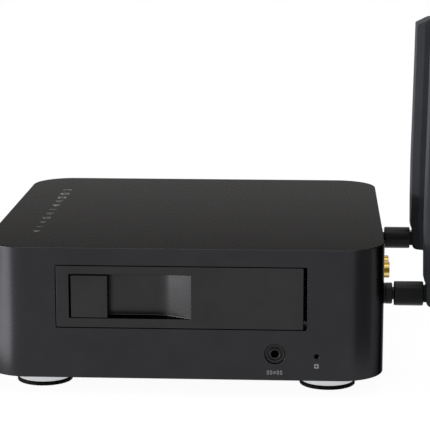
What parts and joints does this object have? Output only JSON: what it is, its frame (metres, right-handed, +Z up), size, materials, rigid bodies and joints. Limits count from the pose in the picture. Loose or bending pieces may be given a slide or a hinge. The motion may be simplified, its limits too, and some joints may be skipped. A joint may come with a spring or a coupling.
{
  "type": "media player",
  "caption": "Flat square media player on round feet, with a side door for a bare hard drive and hinged aerials at the back.",
  "frame": {"origin": "on the table, under the middle of the square case", "axes": "+X towards the door side, +Y towards the back with the aerials, +Z up; millimetres in the source, metres in the row"},
  "size_m": [0.18, 0.2149, 0.1565],
  "materials": {
    "case_coat": "satin black",
    "door_plastic": "satin black, fine moulded grain",
    "frame_plastic": "plain moulded",
    "foot_metal": "polished",
    "foot_rubber": "matt",
    "window_tint": "polished dark",
    "display_face": "polished",
    "button_plastic": "semi-gloss",
    "screw_steel": "blackened",
    "bright_steel": "turned",
    "plated_sheet": "zinc plated",
    "socket_shell": "nickel plated",
    "socket_plastic": "plain moulded",
    "jack_gold": "gold plated, polished",
    "jack_core": "plain moulded",
    "antenna_plastic": "satin black, fine moulded grain",
    "brass_fittings": "turned",
    "board_laminate": "solder resist",
    "chip_resin": "moulded",
    "sink_aluminium": "extruded",
    "lead_jacket": "extruded",
    "spring_steel": "rolled"
  },
  "bodies": {
    "case": {"case_shell": "case_coat", "bottom_plate": "case_coat", "case_screws": "screw_steel", "foot_discs": "foot_metal", "foot_pads": "foot_rubber", "foot_screws": "bright_steel", "front_window": "window_tint", "display_board": "board_laminate", "display_module": "display_face", "ir_receiver": "chip_resin", "power_switch": "socket_plastic", "front_lead": "lead_jacket", "rear_panel": "case_coat", "dc_socket": "socket_plastic", "hdmi_sockets": "socket_shell", "lan_socket": "socket_shell", "usb_socket": "socket_shell", "socket_tongues": "socket_plastic", "rca_housing": "socket_plastic", "rca_jacks": "jack_gold", "rca_cores": "jack_core", "antenna_bulkheads": "brass_fittings", "antenna_couplings": "antenna_plastic", "antenna_leads": "lead_jacket", "main_board": "board_laminate", "board_standoffs": "brass_fittings", "board_screws": "bright_steel", "board_chips": "chip_resin", "heat_sink": "sink_aluminium", "wireless_module": "socket_shell", "capacitors": "sink_aluminium", "board_sockets": "socket_plastic", "riser_board": "board_laminate", "drive_connector": "socket_plastic", "bay_floor": "plated_sheet", "bay_rails": "plated_sheet", "bay_posts": "brass_fittings", "bay_screws": "bright_steel", "bay_frame": "frame_plastic", "frame_nuts": "spring_steel", "door_hinge_pins": "bright_steel", "keeper_clip": "spring_steel", "serial_jack": "socket_plastic", "jack_collar": "frame_plastic", "reset_switch": "socket_plastic"},
    "door": {"drive_door": "door_plastic", "latch_pin": "bright_steel", "latch_spring": "spring_steel"},
    "latch": {"latch_lever": "door_plastic"},
    "button": {"power_button": "button_plastic"},
    "reset": {"reset_plunger": "socket_plastic"},
    "barrel_left": {"antenna_barrel_left": "antenna_plastic"},
    "blade_left": {"antenna_blade_left": "antenna_plastic", "antenna_pin_left": "bright_steel", "antenna_radiator_left": "brass_fittings"},
    "barrel_right": {"antenna_barrel_right": "antenna_plastic"},
    "blade_right": {"antenna_blade_right": "antenna_plastic", "antenna_pin_right": "bright_steel", "antenna_radiator_right": "brass_fittings"}
  },
  "joints": [
    {"name": "door_hinge", "type": "hinge", "parent": "case", "child": "door", "pos_m": [0.0862, 0.04999, 0.0449], "axis": [0, 0, 1], "range_deg": [0, 100], "deforming": ["keeper_clip"]},
    {"name": "latch_pull", "type": "hinge", "parent": "door", "child": "latch", "pos_m": [0.088, -0.0473, 0.045], "axis": [0, 0, -1], "range_deg": [0, 25], "stiffness_Nm_per_rad": 0.02, "deforming": ["latch_spring"]},
    {"name": "power_press", "type": "slide", "parent": "case", "child": "button", "axis": [0, 1, 0], "range_m": [0, 0.0005], "stiffness_N_per_m": 1500},
    {"name": "reset_press", "type": "slide", "parent": "case", "child": "reset", "axis": [-1, 0, 0], "range_m": [0, 0.0003], "stiffness_N_per_m": 2000},
    {"name": "swivel_left", "type": "hinge", "parent": "case", "child": "barrel_left", "pos_m": [-0.0626, 0.1, 0.0418], "axis": [0, 1, 0], "range_deg": [-90, 90]},
    {"name": "tilt_left", "type": "hinge", "parent": "barrel_left", "child": "blade_left", "pos_m": [-0.0626, 0.1162, 0.0418], "axis": [-1, 0, 0], "range_deg": [0, 90]},
    {"name": "swivel_right", "type": "hinge", "parent": "case", "child": "barrel_right", "pos_m": [0.0626, 0.1, 0.0418], "axis": [0, 1, 0], "range_deg": [-90, 90]},
    {"name": "tilt_right", "type": "hinge", "parent": "barrel_right", "child": "blade_right", "pos_m": [0.0626, 0.1162, 0.0418], "axis": [-1, 0, 0], "range_deg": [0, 90]}
  ]
}
